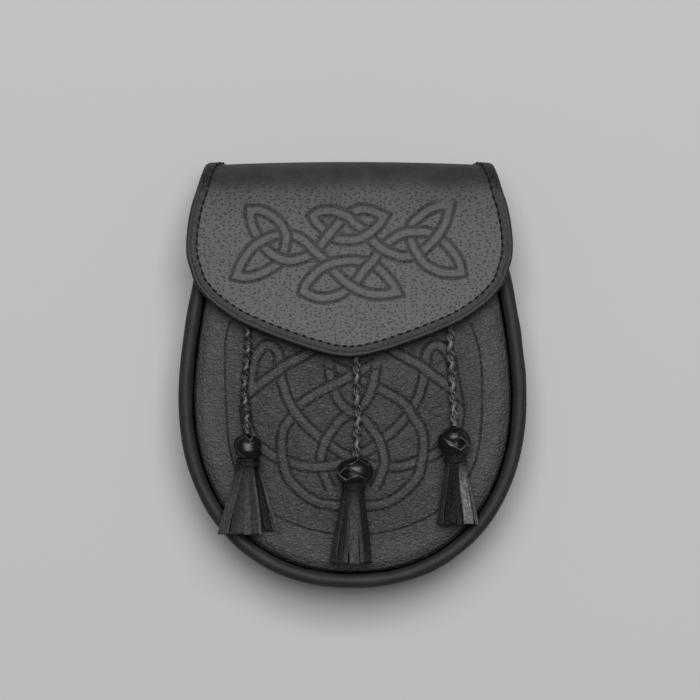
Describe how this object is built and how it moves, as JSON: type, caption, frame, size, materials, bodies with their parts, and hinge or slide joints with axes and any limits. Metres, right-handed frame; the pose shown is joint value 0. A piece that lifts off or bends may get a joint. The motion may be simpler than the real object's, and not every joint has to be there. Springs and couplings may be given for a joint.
{
  "type": "sporran pouch",
  "caption": "Black leather day sporran with a knot-tooled flap over a round-bottomed pouch, piped edges, tassels on braided thongs, and belt loops on the back.",
  "frame": {"origin": "on the surface it lies on, under the middle of the pouch", "axes": "+Z out of the front, +Y towards the flap's fold, +X to the right seen from the front"},
  "size_m": [0.175, 0.2146, 0.0556],
  "materials": {
    "body_leather": "pebbled black leather, satin",
    "flap_leather": "tooled grey-black leather, satin",
    "rim_leather": "smooth black leather, satin",
    "thong_leather": "glossy black leather",
    "stud_metal": "nickel plate"
  },
  "bodies": {
    "root": {"front_panel": "body_leather", "gusset": "body_leather", "back_panel": "body_leather", "front_piping": "rim_leather", "back_piping": "rim_leather", "flap": "flap_leather", "flap_binding": "flap_leather", "press_stud": "stud_metal", "belt_loop_left": "rim_leather", "belt_loop_right": "rim_leather", "thong_left": "thong_leather", "knot_left": "thong_leather", "skirt_left": "thong_leather", "thong_centre": "thong_leather", "knot_centre": "thong_leather", "skirt_centre": "thong_leather", "thong_right": "thong_leather", "knot_right": "thong_leather", "skirt_right": "thong_leather"}
  },
  "joints": []
}
